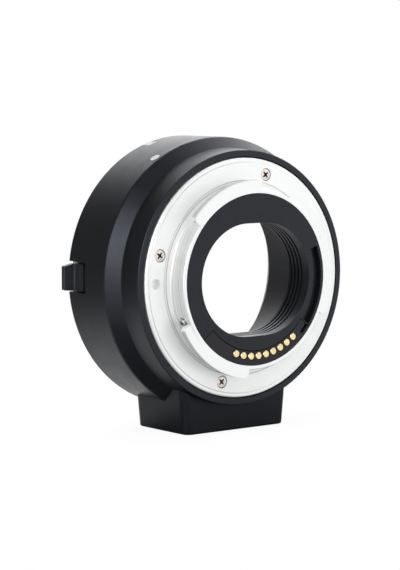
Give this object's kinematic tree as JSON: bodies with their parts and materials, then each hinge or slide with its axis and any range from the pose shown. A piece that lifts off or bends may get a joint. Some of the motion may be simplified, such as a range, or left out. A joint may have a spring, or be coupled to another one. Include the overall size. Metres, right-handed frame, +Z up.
{
  "type": "lens mount adapter",
  "caption": "Black barrel with a bright camera bayonet at one end and a wider lens bayonet at the other, sprung lens contacts, a release slide and a tripod foot.",
  "frame": {"origin": "on the optical axis, in the plane of the camera flange", "axes": "+Y along the optical axis from the camera towards the lens, +Z up away from the tripod foot"},
  "size_m": [0.0685, 0.0329, 0.0702],
  "materials": {
    "black_metal": "satin black anodised",
    "bright_ring": "turned, satin bright",
    "white_mark": "filled paint",
    "black_plastic": "fine matt moulding",
    "contact_plastic": "matt moulding",
    "gold": "gold plated",
    "screw_steel": "nickel plated",
    "spring_steel": "drawn wire",
    "circuit_film": "amber film",
    "socket_steel": "turned"
  },
  "bodies": {
    "adapter_body": {"barrel_housing": "black_metal", "index_marks": "white_mark", "camera_mount_ring": "bright_ring", "camera_mount_screws": "screw_steel", "bayonet_stop_pin": "screw_steel", "light_baffle": "black_plastic", "baffle_screws": "screw_steel", "camera_contact_block": "contact_plastic", "camera_contacts": "gold", "flex_circuit": "circuit_film", "lens_mount_ring": "bright_ring", "lens_mount_screws": "screw_steel", "lens_leaf_springs": "spring_steel", "lens_contact_block": "contact_plastic", "lens_contact_cover": "contact_plastic", "lens_contact_screws": "screw_steel", "release_spring": "spring_steel", "tripod_foot": "black_metal", "foot_screws": "screw_steel", "tripod_bush": "socket_steel", "lens_contact_spring_1": "spring_steel", "lens_contact_spring_2": "spring_steel", "lens_contact_spring_3": "spring_steel", "lens_contact_spring_4": "spring_steel", "lens_contact_spring_5": "spring_steel", "lens_contact_spring_6": "spring_steel", "lens_contact_spring_7": "spring_steel", "lens_contact_spring_8": "spring_steel"},
    "release": {"release_lever": "black_plastic", "lock_pin": "screw_steel"},
    "contact_1": {"lens_contact_pin_1": "gold"},
    "contact_2": {"lens_contact_pin_2": "gold"},
    "contact_3": {"lens_contact_pin_3": "gold"},
    "contact_4": {"lens_contact_pin_4": "gold"},
    "contact_5": {"lens_contact_pin_5": "gold"},
    "contact_6": {"lens_contact_pin_6": "gold"},
    "contact_7": {"lens_contact_pin_7": "gold"},
    "contact_8": {"lens_contact_pin_8": "gold"}
  },
  "joints": [
    {"name": "release_slide", "type": "slide", "parent": "adapter_body", "child": "release", "axis": [0, -1, 0], "range_m": [0, 0.002], "stiffness_N_per_m": 800, "springref_m": -0.002, "deforming": ["release_spring"]},
    {"name": "contact_1_slide", "type": "slide", "parent": "adapter_body", "child": "contact_1", "axis": [0, -1, 0], "range_m": [0, 0.001], "stiffness_N_per_m": 250, "springref_m": -0.001, "deforming": ["lens_contact_spring_1"]},
    {"name": "contact_2_slide", "type": "slide", "parent": "adapter_body", "child": "contact_2", "axis": [0, -1, 0], "range_m": [0, 0.001], "stiffness_N_per_m": 250, "springref_m": -0.001, "deforming": ["lens_contact_spring_2"]},
    {"name": "contact_3_slide", "type": "slide", "parent": "adapter_body", "child": "contact_3", "axis": [0, -1, 0], "range_m": [0, 0.001], "stiffness_N_per_m": 250, "springref_m": -0.001, "deforming": ["lens_contact_spring_3"]},
    {"name": "contact_4_slide", "type": "slide", "parent": "adapter_body", "child": "contact_4", "axis": [0, -1, 0], "range_m": [0, 0.001], "stiffness_N_per_m": 250, "springref_m": -0.001, "deforming": ["lens_contact_spring_4"]},
    {"name": "contact_5_slide", "type": "slide", "parent": "adapter_body", "child": "contact_5", "axis": [0, -1, 0], "range_m": [0, 0.001], "stiffness_N_per_m": 250, "springref_m": -0.001, "deforming": ["lens_contact_spring_5"]},
    {"name": "contact_6_slide", "type": "slide", "parent": "adapter_body", "child": "contact_6", "axis": [0, -1, 0], "range_m": [0, 0.001], "stiffness_N_per_m": 250, "springref_m": -0.001, "deforming": ["lens_contact_spring_6"]},
    {"name": "contact_7_slide", "type": "slide", "parent": "adapter_body", "child": "contact_7", "axis": [0, -1, 0], "range_m": [0, 0.001], "stiffness_N_per_m": 250, "springref_m": -0.001, "deforming": ["lens_contact_spring_7"]},
    {"name": "contact_8_slide", "type": "slide", "parent": "adapter_body", "child": "contact_8", "axis": [0, -1, 0], "range_m": [0, 0.001], "stiffness_N_per_m": 250, "springref_m": -0.001, "deforming": ["lens_contact_spring_8"]}
  ]
}
